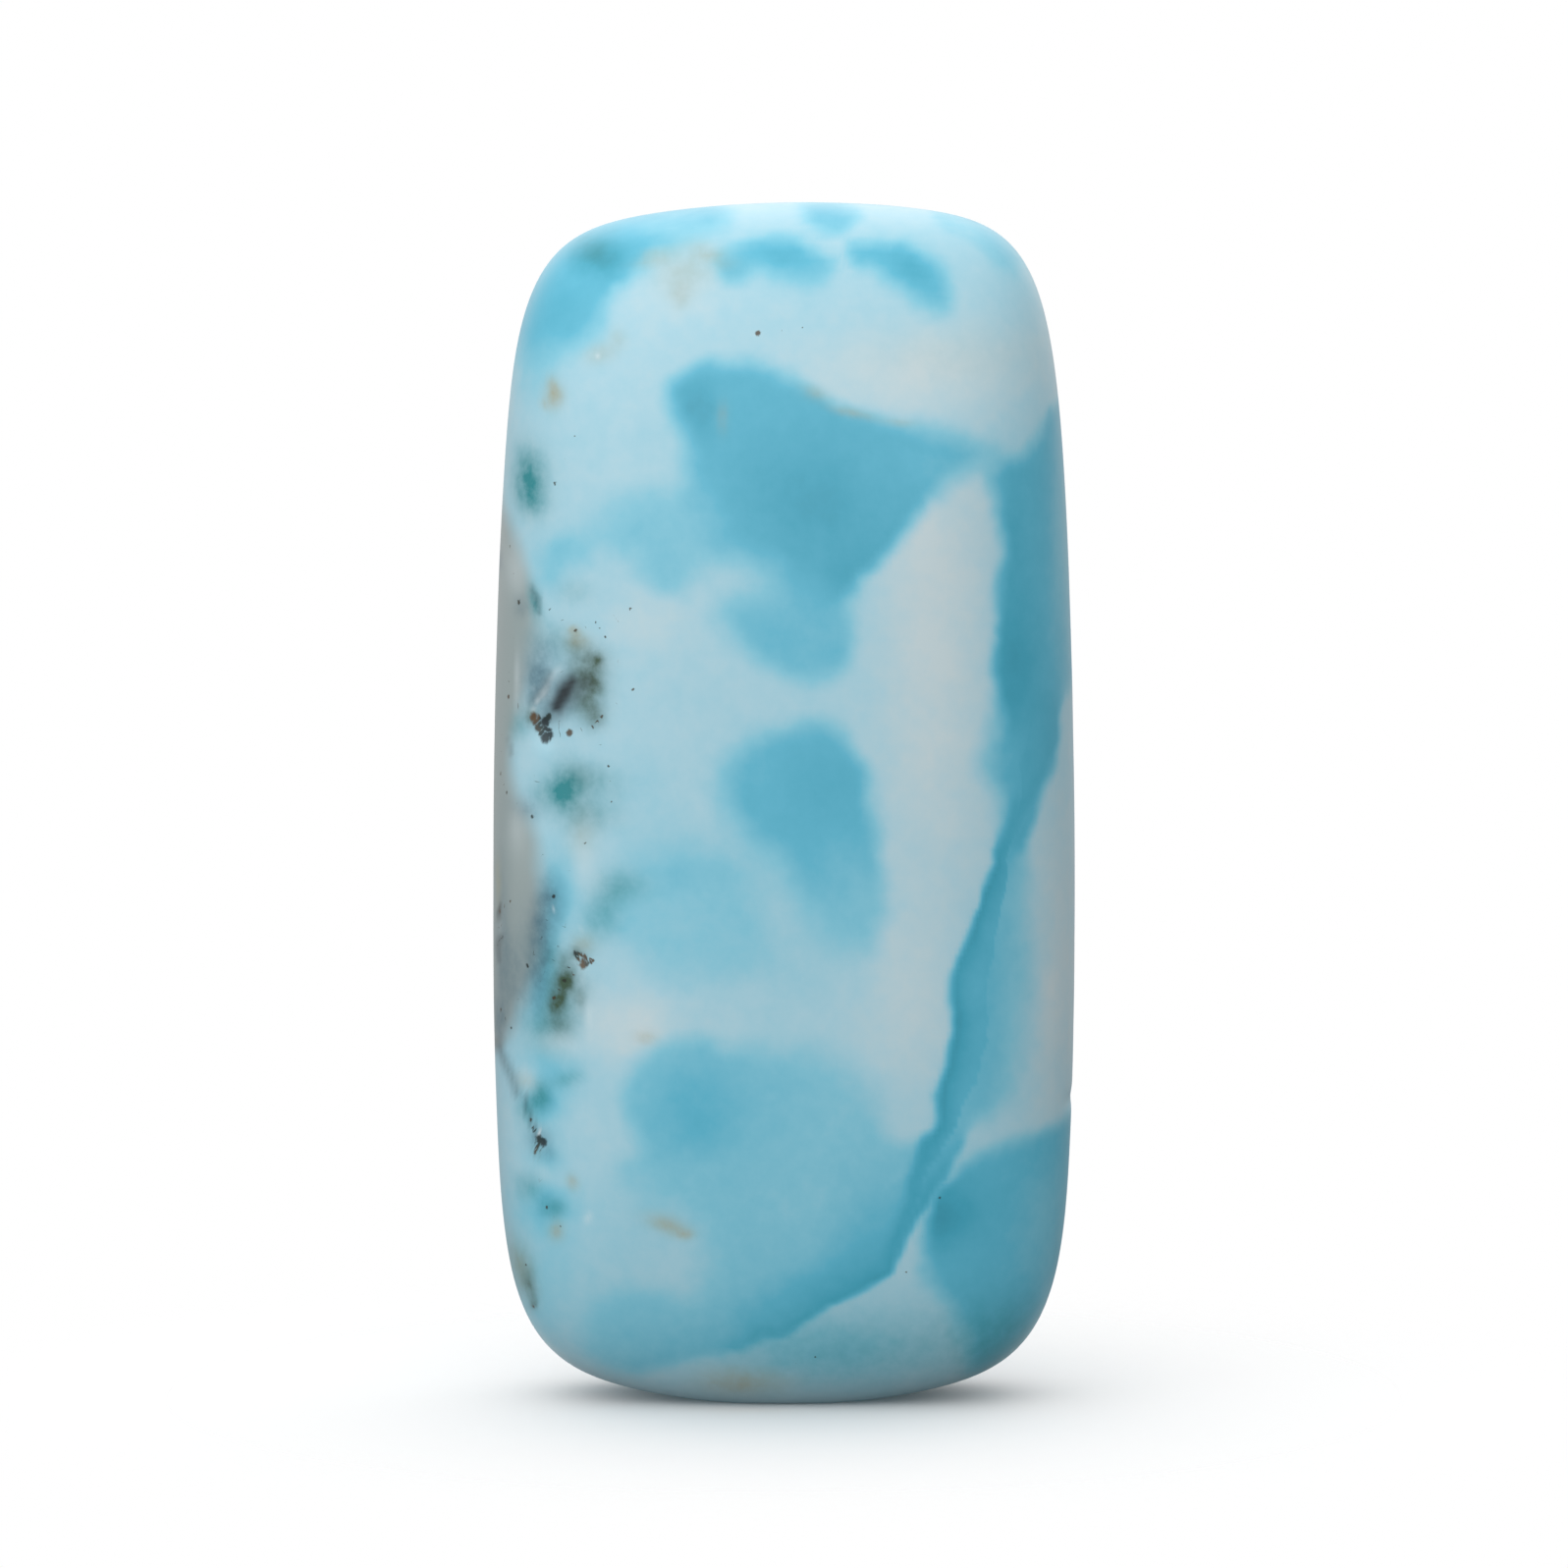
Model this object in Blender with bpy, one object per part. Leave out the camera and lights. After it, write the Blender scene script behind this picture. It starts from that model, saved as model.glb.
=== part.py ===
"""Polished larimar stone: one ground and tumbled piece that stands on a small flat at its lower end.

Metres, +Z up. The front face looks along -Y, and the origin is the middle of the foot.
"""

import math

import bmesh
import bpy

# Overall size: the height is foot to top, and the depth is split where the outline is widest.
WIDTH = 0.0194
FRONT_DEPTH = 0.0066
BACK_DEPTH = 0.0059
HEIGHT = 0.0400

# The stone is a rounded box. Its outline seen from the front has squarer corners than its edges.
OUTLINE_EXPONENT = 8.0
EDGE_EXPONENT = 4.0

# Every face bulges. A fall is how far a face has dropped away at its rim.
SIDE_FALL_TO_ENDS = 0.00066
SIDE_FALL_TO_FACES = 0.00045
SIDE_TAPER = 0.00023
TOP_FALL_TO_SIDES = 0.00110
TOP_FALL_TO_FACES = 0.00120
TOP_RISE_TO_RIGHT = 0.00018
FOOT_FALL_TO_SIDES = 0.00170
FOOT_FALL_TO_FACES = 0.00010
FRONT_FALL_TO_SIDES = 0.00110
FRONT_FALL_TO_ENDS = 0.00095
BACK_FALL_TO_SIDES = 0.00070
BACK_FALL_TO_ENDS = 0.00080

# The round lower end is ground off by this much, which leaves a flat about 6 by 4.4 mm to stand on.
FOOT_GRIND = 0.00018

# Facets along each axis, and how far they crowd towards the edges, where the stone curves most.
STEPS = (20, 14, 40)
CROWDING = 0.7

LARIMAR_BLUE = (0.33, 0.62, 0.72, 1.0)
POLISH_ROUGHNESS = 0.32
PECTOLITE_IOR = 1.60


def clear_scene():
    for old in list(bpy.data.objects):
        bpy.data.objects.remove(old)


def crowded(share):
    """A share from -1 to 1 of the way across a face, moved towards the nearer edge."""
    return (1 - CROWDING) * share + CROWDING * math.sin(share * math.pi / 2)


def on_rounded_box(across, deep, up):
    """Scales a point of the cube onto the unit rounded box: a superellipse outline with softer edges."""
    outline = (abs(across) ** OUTLINE_EXPONENT + abs(up) ** OUTLINE_EXPONENT) ** (
        EDGE_EXPONENT / OUTLINE_EXPONENT
    )
    size = (outline + abs(deep) ** EDGE_EXPONENT) ** (1 / EDGE_EXPONENT)
    return across / size, deep / size, up / size


def bulged(across, deep, up):
    """The stone's own point for one of the unit rounded box: full size, with each face's bulge."""
    half_width = WIDTH / 2 - SIDE_TAPER * up
    half_width -= SIDE_FALL_TO_ENDS * up**2 + SIDE_FALL_TO_FACES * deep**2
    x = half_width * across

    front = deep < 0
    half_depth = FRONT_DEPTH if front else BACK_DEPTH
    to_sides = FRONT_FALL_TO_SIDES if front else BACK_FALL_TO_SIDES
    to_ends = FRONT_FALL_TO_ENDS if front else BACK_FALL_TO_ENDS
    y = (half_depth - to_sides * across**2 - to_ends * up**2) * deep
    y += (FRONT_DEPTH - BACK_DEPTH) / 2

    z = (HEIGHT + FOOT_GRIND) / 2 * up
    if up > 0:
        fall = TOP_FALL_TO_SIDES * across**2 + TOP_FALL_TO_FACES * deep**2
        z += (TOP_RISE_TO_RIGHT * across - fall) * up**2
    else:
        z += (FOOT_FALL_TO_SIDES * across**2 + FOOT_FALL_TO_FACES * deep**2) * up**2
    return x, y, z + (HEIGHT - FOOT_GRIND) / 2


def parallel_edges(mesh, axis):
    """The edges that run along one axis of the uncut cube."""
    others = [i for i in range(3) if i != axis]
    return [
        edge
        for edge in mesh.edges
        if all(abs(edge.verts[0].co[i] - edge.verts[1].co[i]) < 1e-6 for i in others)
    ]


def grind_foot(mesh):
    """Cuts the round end off level with the floor and closes it with one flat face."""
    geometry = mesh.verts[:] + mesh.edges[:] + mesh.faces[:]
    cut = bmesh.ops.bisect_plane(
        mesh, geom=geometry, plane_co=(0, 0, 0), plane_no=(0, 0, -1), clear_outer=True
    )
    rim = [item for item in cut["geom_cut"] if isinstance(item, bmesh.types.BMEdge)]
    bmesh.ops.contextual_create(mesh, geom=rim)


def polished_stone():
    """A cube, divided, rounded and bulged into the stone, with its foot ground flat."""
    mesh = bmesh.new()
    bmesh.ops.create_cube(mesh, size=2)
    for axis, steps in enumerate(STEPS):
        bmesh.ops.subdivide_edges(
            mesh, edges=parallel_edges(mesh, axis), cuts=steps - 1, use_grid_fill=True
        )
    for vertex in mesh.verts:
        point = [crowded(share) for share in vertex.co]
        vertex.co = bulged(*on_rounded_box(*point))
    grind_foot(mesh)
    bmesh.ops.recalc_face_normals(mesh, faces=mesh.faces[:])

    data = bpy.data.meshes.new("larimar_stone")
    mesh.to_mesh(data)
    mesh.free()
    data.shade_smooth()
    return data


def larimar():
    """Satin-polished pectolite: the sky blue of its cells, mixed with the white between them."""
    material = bpy.data.materials.new("polished_larimar")
    material.use_nodes = True
    shader = material.node_tree.nodes["Principled BSDF"]
    shader.inputs["Base Color"].default_value = LARIMAR_BLUE
    shader.inputs["Roughness"].default_value = POLISH_ROUGHNESS
    shader.inputs["Metallic"].default_value = 0.0
    shader.inputs["IOR"].default_value = PECTOLITE_IOR
    return material


def main():
    clear_scene()
    parts = bpy.data.collections.new("polished_larimar_stone")
    bpy.context.scene.collection.children.link(parts)
    stone = bpy.data.objects.new("larimar_stone", polished_stone())
    stone.data.materials.append(larimar())
    parts.objects.link(stone)


main()
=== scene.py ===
"""The looks of the polished larimar stone: its fine surface, its pattern, a pale floor, light and a camera.

Lengths are in millimetres until a mesh, a lamp or the camera is made, which are in metres.
The stone stands upright, its front face looks along -Y, and z is height above the floor.
"""

import math

import bpy
import numpy as np
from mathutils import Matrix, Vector


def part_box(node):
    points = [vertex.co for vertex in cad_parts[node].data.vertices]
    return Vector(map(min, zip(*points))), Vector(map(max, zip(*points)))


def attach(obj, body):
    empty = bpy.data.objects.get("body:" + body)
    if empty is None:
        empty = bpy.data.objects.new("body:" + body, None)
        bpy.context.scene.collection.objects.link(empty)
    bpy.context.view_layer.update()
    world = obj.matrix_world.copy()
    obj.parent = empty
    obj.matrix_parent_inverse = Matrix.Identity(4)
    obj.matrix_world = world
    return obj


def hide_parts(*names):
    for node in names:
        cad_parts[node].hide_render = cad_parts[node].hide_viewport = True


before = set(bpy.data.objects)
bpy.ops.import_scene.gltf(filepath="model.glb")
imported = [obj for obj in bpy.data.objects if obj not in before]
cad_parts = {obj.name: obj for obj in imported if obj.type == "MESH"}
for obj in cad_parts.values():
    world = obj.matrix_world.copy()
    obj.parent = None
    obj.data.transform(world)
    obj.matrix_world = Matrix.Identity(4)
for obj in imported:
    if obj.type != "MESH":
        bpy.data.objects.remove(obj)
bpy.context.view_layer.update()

MM = 0.001

# The stone's driving sizes are those of the solid, in millimetres.
WIDTH = 19.4
FRONT_DEPTH = 6.6
BACK_DEPTH = 5.9
HEIGHT = 40.0
OUTLINE_EXPONENT = 8.0
EDGE_EXPONENT = 4.0
SIDE_FALL_TO_ENDS = 0.66
SIDE_FALL_TO_FACES = 0.45
SIDE_TAPER = 0.23
TOP_FALL_TO_SIDES = 1.10
TOP_FALL_TO_FACES = 1.20
TOP_RISE_TO_RIGHT = 0.18
FOOT_FALL_TO_SIDES = 1.70
FOOT_FALL_TO_FACES = 0.10
FRONT_FALL_TO_SIDES = 1.10
FRONT_FALL_TO_ENDS = 0.95
BACK_FALL_TO_SIDES = 0.70
BACK_FALL_TO_ENDS = 0.80
FOOT_GRIND = 0.18

# The fine surface has this many cells along each axis, which crowd towards the rounded edges.
CELLS = (136, 40, 248)
CROWDING = 0.6

# The floor's white, and the brightness all round, which is dimmed to this share below the horizon.
CARD_WHITE = 0.88
SURROUNDINGS = 0.48
BELOW = 0.2
# Each soft light is the way to it, how narrow it is and its strength.
FRONT_LIGHT = ((-0.42, -0.87, 0.25), 2.0, 1.65)
TOP_LIGHT = ((0.05, 0.70, 0.71), 2.0, 1.15)
# The camera rises this many degrees above level. Its frame shows this many millimetres at AIM.
CAMERA_RISE = 6.0
LENS = 300.0
SENSOR = 36.0
FRAME_WIDTH = 52.36
AIM = (0.0, 0.0, 20.6)

# The stone's colours. The blues run from white pectolite to the deepest cell.
BLUES = [
    (0.0, "#c8dadf"), (0.2, "#a9d3e1"), (0.4, "#84c9dd"), (0.6, "#5eb9d3"), (0.8, "#46a9c3"),
    (1.0, "#348fa6"),
]
MATRIX_GREY = "#9caaaa"
# The teal serves both the teal stains and painted shade low on the front near the foot.
STAIN_AND_SHADE_COLOURS = [("teal", "#2c8a92"), ("slate", "#4b6f7e"), ("tan", "#a5a488"), ("olive", "#3a5542")]
DARK_GREEN = "#0c171d"
PALE_FIBRE = "#dbe8ec"
SPECK_TONES = [(0.0, "#050606"), (0.35, "#20281c"), (0.6, "#4a3413"), (1.0, "#5a3c12")]
COARSE_CLOUD = 0.10
FINE_CLOUD = 0.02
# Pits as x, z, half width and depth.
PITS = [
    (-7.88, 22.62, 0.32, 0.09), (-7.9, 23.12, 0.28, 0.07), (-8.06, 9.12, 0.28, 0.07),
    (-6.56, 15.22, 0.26, 0.05), (9.66, 10.15, 0.28, 0.05),
]
# Grinding waves as depth, size and seed. They and the pits fade to nothing over this height at the foot.
GRINDING_WAVES = [(0.012, 4.5, 51), (0.003, 1.4, 52)]
LEVEL_FOOT = 0.6

# The polish is a satin gloss with a fine ripple of this height and strength.
POLISH_ROUGHNESS = 0.34
PECTOLITE_IOR = 1.60
POLISH_SPECULAR = 0.3
RIPPLE_HEIGHT = 0.01
RIPPLE_STRENGTH = 0.25
# A speck fades between these shares of its half width, and its outline is this ragged.
SPECK_EDGE = (1.5, 0.6)
SPECK_STRENGTH = 0.9
SPECK_RAGGEDNESS = 0.14

# The floor is a round card that fades between these two distances from the stone's middle.
FLOOR_RADIUS = 60
FLOOR_CORNERS = 96
FLOOR_FADE = (3, 30)
# The surroundings dim between these two heights of the way looked, where 0 is the horizon.
HORIZON = (-0.25, 0.1)

# The front's pattern gives way to that of the unseen sides between these two y.
FRONT_FADE = (1.8, -0.4)
# The front's pits and specks lie at a lower y than this, and scattered specks at a higher one.
FRONT_SKIN = 1.5
# A ring's cover goes from nothing to full over this many softnesses to each side of its outline.
EDGE_REACH = 1.3

# An outline is a ring of (x, z, softness, rim) on the front face, in millimetres. Softness is half the
# width of the fade across the edge, and rim is how much deeper the blue grows just inside it.
UPPER_CELL = [
    (-3.6, 34.5, 0.40, 0.10), (-2.6, 35.0, 0.40, 0.0), (-1.2, 35.0, 0.45, 0.0), (0.2, 34.6, 0.40, 0.0),
    (1.2, 34.1, 0.35, 0.0), (2.2, 33.4, 0.35, 0.0), (3.4, 33.1, 0.45, 0.0), (4.6, 32.9, 0.6, 0.0),
    (5.7, 32.6, 0.6, -0.1), (6.5, 32.1, 0.6, -0.2), (6.2, 31.5, 0.5, -0.2), (5.3, 31.0, 0.4, -0.1),
    (4.7, 30.5, 0.35, 0.0), (4.3, 29.9, 0.3, 0.05), (3.8, 29.3, 0.3, 0.1), (3.1, 28.5, 0.3, 0.1),
    (2.5, 27.9, 0.35, 0.1), (1.8, 27.45, 0.5, 0.1), (0.9, 27.5, 0.6, 0.0), (0.1, 27.9, 0.7, 0.0),
    (-0.6, 28.4, 0.7, 0.0), (-1.4, 28.7, 0.7, 0.0), (-2.3, 29.0, 0.8, 0.0), (-2.8, 29.8, 0.7, 0.0),
    (-3.0, 30.8, 0.6, 0.0), (-3.2, 31.8, 0.6, 0.0), (-3.4, 32.8, 0.5, 0.05), (-3.7, 33.8, 0.45, 0.1),
]
LOBE = [
    (-3.0, 30.7, 0.7, 0.0), (-4.2, 30.8, 0.7, 0.0), (-5.4, 30.3, 0.8, 0.0), (-5.9, 29.4, 0.8, 0.0),
    (-5.1, 28.8, 0.6, 0.0), (-4.9, 28.2, 0.5, 0.0), (-4.3, 27.7, 0.4, 0.0), (-3.6, 27.6, 0.4, 0.0),
    (-3.0, 27.9, 0.5, 0.0), (-2.5, 28.6, 0.7, 0.0), (-2.4, 29.8, 0.8, 0.0),
]
NECK_CELL = [
    (-1.9, 27.1, 0.7, 0.0), (-0.6, 27.6, 0.8, 0.0), (0.9, 27.6, 0.7, 0.0), (1.8, 27.3, 0.5, 0.0),
    (2.15, 26.9, 0.35, 0.0), (2.2, 26.1, 0.3, 0.0), (2.15, 25.4, 0.35, 0.0), (1.8, 24.9, 0.4, 0.0),
    (1.0, 24.75, 0.4, 0.0), (0.2, 24.8, 0.4, 0.0), (-0.6, 25.2, 0.5, 0.0), (-1.2, 25.7, 0.5, 0.0),
    (-1.8, 26.3, 0.7, 0.0),
]
MIDDLE_CELL = [
    (-0.6, 22.9, 0.6, 0.0), (0.4, 23.2, 0.5, 0.0), (1.4, 23.2, 0.5, 0.0), (2.0, 22.8, 0.4, 0.0),
    (2.4, 22.1, 0.4, 0.05), (2.7, 21.4, 0.4, 0.05), (2.9, 20.5, 0.4, 0.05), (3.1, 19.5, 0.4, 0.0),
    (3.15, 18.5, 0.4, 0.0), (3.2, 17.5, 0.45, 0.0), (3.1, 16.6, 0.6, 0.0), (2.5, 15.9, 0.8, 0.0),
    (1.8, 16.1, 0.9, 0.0), (1.0, 16.9, 0.9, 0.0), (0.4, 17.8, 0.8, 0.0), (-0.2, 18.7, 0.7, 0.0),
    (-1.0, 19.4, 0.7, 0.0), (-1.7, 20.0, 0.7, 0.0), (-2.1, 20.8, 0.7, 0.0), (-2.0, 21.6, 0.7, 0.0),
    (-1.5, 22.3, 0.6, 0.0),
]
SKY_FIELD = [
    (-4.9, 19.2, 1.0, 0.0), (-3.8, 19.6, 1.0, 0.0), (-2.5, 19.3, 0.9, 0.0), (-1.3, 18.9, 0.9, 0.0),
    (-0.6, 18.0, 0.9, 0.0), (-0.4, 17.0, 0.9, 0.0), (-0.3, 16.0, 0.9, 0.0), (-0.9, 15.2, 0.9, 0.0),
    (-2.0, 14.8, 0.8, 0.0), (-3.2, 14.8, 0.8, 0.0), (-4.2, 15.0, 0.7, 0.0), (-4.9, 15.6, 0.7, 0.0),
    (-5.6, 16.0, 0.6, 0.0), (-6.4, 16.2, 0.6, 0.0), (-6.6, 17.0, 0.6, 0.0), (-6.0, 17.9, 0.6, 0.0),
    (-5.3, 18.5, 0.8, 0.0),
]
LOWER_CELL = [
    (-5.0, 11.9, 0.35, 0.0), (-4.5, 12.4, 0.35, 0.0), (-3.6, 12.7, 0.35, 0.0), (-2.4, 12.65, 0.45, 0.0),
    (-1.2, 12.5, 0.6, 0.0), (-0.2, 12.4, 0.7, 0.0), (0.8, 12.3, 0.8, 0.0), (1.6, 12.0, 0.7, 0.0),
    (2.2, 11.6, 0.7, 0.0), (2.9, 11.0, 0.7, 0.0), (3.2, 10.2, 0.6, 0.0), (3.5, 9.5, 0.4, 0.0),
    (4.2, 9.2, 0.3, 0.0), (4.7, 9.4, 0.25, 0.2), (5.3, 9.6, 0.2, 0.3), (5.9, 9.2, 0.18, 0.3),
    (5.35, 8.3, 0.18, 0.3), (4.9, 7.5, 0.18, 0.3), (4.5, 6.8, 0.18, 0.3), (4.1, 6.1, 0.18, 0.3),
    (3.75, 5.4, 0.16, 0.4), (3.4, 4.75, 0.14, 0.45), (2.4, 4.2, 0.14, 0.42), (1.6, 3.75, 0.14, 0.40),
    (0.8, 3.15, 0.14, 0.40), (0.0, 2.8, 0.16, 0.38), (-0.8, 2.4, 0.18, 0.35), (-1.6, 2.1, 0.2, 0.25),
    (-2.6, 1.9, 0.25, 0.12), (-3.6, 1.6, 0.25, 0.10), (-4.6, 1.2, 0.25, 0.10), (-5.4, 1.1, 0.35, 0.0),
    (-6.2, 1.5, 0.5, 0.0), (-6.7, 2.3, 0.6, 0.0), (-6.6, 3.2, 0.6, 0.0), (-6.2, 3.9, 0.6, 0.0),
    (-5.2, 4.3, 0.5, 0.0), (-4.2, 4.2, 0.5, 0.0), (-3.2, 3.9, 0.6, 0.0), (-2.7, 4.6, 0.8, 0.0),
    (-2.7, 5.5, 0.9, 0.0), (-3.2, 6.6, 0.9, 0.0), (-4.4, 7.2, 1.0, 0.0), (-5.2, 8.2, 0.9, 0.0),
    (-4.9, 9.1, 0.5, 0.0), (-5.2, 9.9, 0.35, 0.0), (-5.25, 10.6, 0.35, 0.0), (-5.2, 11.3, 0.35, 0.0),
]
RIGHT_BAND = [
    (9.2, 33.5, 0.2, 0.0), (8.7, 33.0, 0.25, 0.0), (8.4, 32.4, 0.3, 0.0), (7.9, 31.9, 0.35, 0.0),
    (7.2, 31.7, 0.4, 0.0), (6.8, 31.2, 0.4, 0.0), (7.0, 30.4, 0.35, 0.0), (7.15, 29.6, 0.3, 0.05),
    (7.2, 28.8, 0.3, 0.05), (7.1, 28.0, 0.3, 0.1), (7.15, 27.2, 0.3, 0.1), (7.1, 26.4, 0.3, 0.1),
    (6.95, 25.6, 0.3, 0.1), (6.9, 24.8, 0.3, 0.1), (6.95, 24.0, 0.3, 0.1), (7.05, 23.4, 0.35, 0.0),
    (6.9, 22.8, 0.45, -0.1), (6.6, 22.2, 0.5, -0.2), (6.7, 21.4, 0.5, -0.2), (7.1, 20.8, 0.4, -0.1),
    (7.2, 20.1, 0.35, 0.0), (7.2, 19.4, 0.3, 0.1), (7.5, 18.9, 0.3, 0.2), (8.05, 19.4, 0.25, 0.2),
    (8.3, 20.0, 0.25, 0.1), (8.55, 20.7, 0.25, 0.1), (8.85, 21.6, 0.2, 0.1), (9.1, 22.5, 0.18, 0.1),
    (9.2, 23.5, 0.15, 0.1), (9.6, 24.2, 0.3, 0.0), (10.6, 25.0, 0.3, 0.0), (10.6, 33.0, 0.3, 0.0),
]
CORNER_CELL = [
    (5.2, 7.7, 0.25, 0.15), (5.8, 8.3, 0.35, 0.05), (6.6, 8.8, 0.4, 0.0), (7.6, 9.1, 0.4, 0.0),
    (8.6, 9.4, 0.4, 0.0), (9.4, 9.7, 0.4, 0.0), (10.8, 10.0, 0.4, 0.0), (10.8, -1.0, 0.4, 0.0),
    (7.2, -1.0, 0.5, 0.0), (6.5, 0.6, 0.5, 0.0), (6.3, 1.4, 0.5, 0.0), (6.1, 2.3, 0.5, 0.0),
    (5.7, 3.2, 0.5, 0.0), (5.0, 4.2, 0.5, 0.0), (4.65, 5.0, 0.45, 0.0), (4.6, 5.8, 0.35, 0.05),
    (4.75, 6.6, 0.3, 0.1), (4.95, 7.2, 0.25, 0.15),
]
TOP_LEFT_CELL = [
    (-10.4, 35.3, 0.6, 0.0), (-8.6, 35.2, 0.7, 0.0), (-7.6, 35.3, 0.7, 0.0), (-6.8, 35.6, 0.6, 0.0),
    (-6.1, 36.2, 0.5, 0.0), (-5.8, 36.9, 0.45, 0.0), (-5.4, 37.5, 0.35, 0.0), (-4.9, 38.0, 0.3, 0.0),
    (-4.2, 38.5, 0.3, 0.0), (-3.6, 38.8, 0.4, 0.0), (-2.6, 39.2, 0.4, 0.0), (-2.0, 39.8, 0.5, 0.0),
    (-3.0, 41.0, 0.5, 0.0), (-10.8, 41.0, 0.5, 0.0),
]
TOP_MIDDLE_CELL = [
    (-2.1, 38.6, 0.35, 0.0), (-1.4, 38.9, 0.3, 0.0), (-0.6, 39.1, 0.3, 0.0), (0.4, 39.05, 0.3, 0.0),
    (1.0, 38.7, 0.3, 0.0), (1.5, 38.3, 0.3, 0.0), (1.4, 37.8, 0.4, 0.0), (0.7, 37.6, 0.5, 0.0),
    (-0.2, 37.8, 0.5, 0.0), (-0.9, 37.95, 0.4, 0.0), (-1.5, 37.7, 0.35, 0.0), (-2.0, 37.75, 0.3, 0.0),
    (-2.25, 38.2, 0.3, 0.0),
]
TOP_RIGHT_CELL = [
    (2.1, 38.8, 0.3, 0.0), (3.0, 38.9, 0.3, 0.0), (4.0, 38.85, 0.3, 0.0), (4.7, 38.5, 0.3, 0.0),
    (5.2, 37.9, 0.35, 0.0), (5.4, 37.3, 0.4, 0.0), (5.2, 36.8, 0.5, 0.0), (4.6, 37.0, 0.5, 0.0),
    (3.8, 37.5, 0.5, 0.0), (3.0, 38.0, 0.4, 0.0), (2.2, 38.2, 0.3, 0.0),
]
TOP_EDGE_PATCH = [
    (0.8, 39.5, 0.25, 0.0), (1.4, 39.3, 0.3, 0.0), (2.1, 39.4, 0.3, 0.0), (2.3, 39.8, 0.3, 0.0),
    (1.2, 40.1, 0.3, 0.0), (0.6, 39.9, 0.3, 0.0),
]
TOP_CORNER_CELL = [
    (5.0, 39.7, 0.3, 0.0), (5.8, 39.3, 0.35, 0.0), (6.3, 38.9, 0.4, 0.0), (6.8, 38.4, 0.5, 0.0),
    (7.4, 38.0, 0.5, 0.0), (8.2, 38.2, 0.5, 0.0), (9.0, 39.5, 0.4, 0.0), (7.0, 40.8, 0.4, 0.0),
    (5.0, 40.6, 0.4, 0.0),
]
# Each cell has its outline and how deep its blue is away from the rim.
CELLS_OF_BLUE = [
    (UPPER_CELL, 0.68), (LOBE, 0.44), (NECK_CELL, 0.54), (MIDDLE_CELL, 0.60), (SKY_FIELD, 0.38),
    (LOWER_CELL, 0.44), (RIGHT_BAND, 0.64), (CORNER_CELL, 0.62), (TOP_LEFT_CELL, 0.62),
    (TOP_MIDDLE_CELL, 0.55), (TOP_RIGHT_CELL, 0.58), (TOP_EDGE_PATCH, 0.6), (TOP_CORNER_CELL, 0.5),
]
RIM_WIDTH = 0.6

# The blue that flows down the right side starts at a sharp dark line and pales towards the edge.
FLOW = [
    (8.3, 20.3, 0.25, 0.1), (7.7, 20.0, 0.3, 0.1), (7.3, 19.5, 0.25, 0.2), (7.1, 19.0, 0.18, 0.35),
    (6.9, 18.3, 0.15, 0.42), (6.5, 17.5, 0.15, 0.45), (6.2, 16.8, 0.15, 0.45), (5.95, 16.0, 0.15, 0.45),
    (5.65, 15.3, 0.15, 0.45), (5.45, 14.8, 0.18, 0.45), (5.4, 14.0, 0.18, 0.48), (5.48, 13.3, 0.15, 0.5),
    (5.5, 12.6, 0.15, 0.5), (5.35, 11.9, 0.15, 0.48), (5.15, 11.2, 0.15, 0.48), (5.0, 10.5, 0.15, 0.48),
    (4.9, 9.8, 0.18, 0.48), (4.65, 9.2, 0.22, 0.48), (4.4, 8.5, 0.28, 0.45), (4.2, 7.8, 0.3, 0.42),
    (4.0, 7.1, 0.3, 0.38), (3.8, 6.4, 0.35, 0.35), (3.5, 5.6, 0.35, 0.3), (3.75, 5.4, 0.18, 0.3),
    (4.1, 6.1, 0.18, 0.3), (4.5, 6.8, 0.18, 0.3), (4.9, 7.5, 0.18, 0.3), (5.35, 8.3, 0.18, 0.25),
    (5.9, 9.2, 0.2, 0.1), (6.3, 9.7, 0.35, 0.0), (6.9, 10.2, 0.5, 0.0), (7.4, 11.0, 0.7, 0.0),
    (7.7, 12.2, 0.9, 0.0), (7.9, 14.0, 1.0, 0.0), (8.0, 16.0, 1.0, 0.0), (8.0, 17.5, 0.8, 0.0),
    (7.9, 18.6, 0.35, 0.1), (8.1, 19.4, 0.25, 0.1),
]
FLOW_DEPTH = 0.50

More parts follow.
